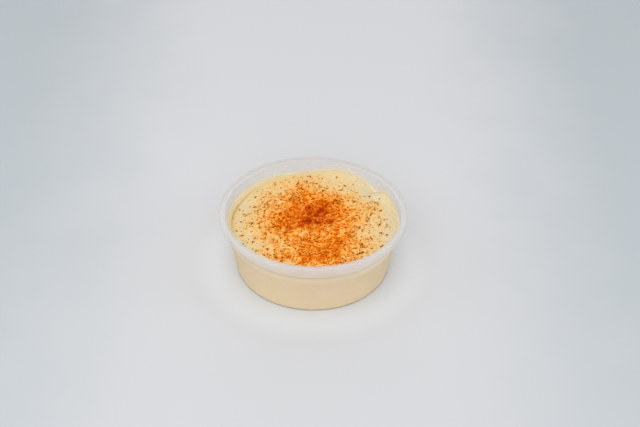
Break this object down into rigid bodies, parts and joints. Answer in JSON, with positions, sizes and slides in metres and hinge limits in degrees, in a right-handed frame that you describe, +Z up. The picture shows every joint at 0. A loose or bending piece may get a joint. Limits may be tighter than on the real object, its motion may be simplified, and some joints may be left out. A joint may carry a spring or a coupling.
{
  "type": "tub of hummus",
  "caption": "Round, lidless translucent deli tub filled with creamy hummus, its uneven top dusted with paprika and dark herb flakes.",
  "frame": {"origin": "middle of the tub's foot, on the surface that it stands on", "axes": "+Z up through the open top, +Y towards the back, -Y towards the viewer"},
  "size_m": [0.117, 0.117, 0.041],
  "materials": {
    "frosted_plastic": "frosted, translucent, thin moulded polypropylene",
    "hummus_paste": "soft, slightly moist cream paste under orange-red paprika dust"
  },
  "bodies": {
    "root": {"tub": "frosted_plastic", "hummus": "hummus_paste"}
  },
  "joints": []
}
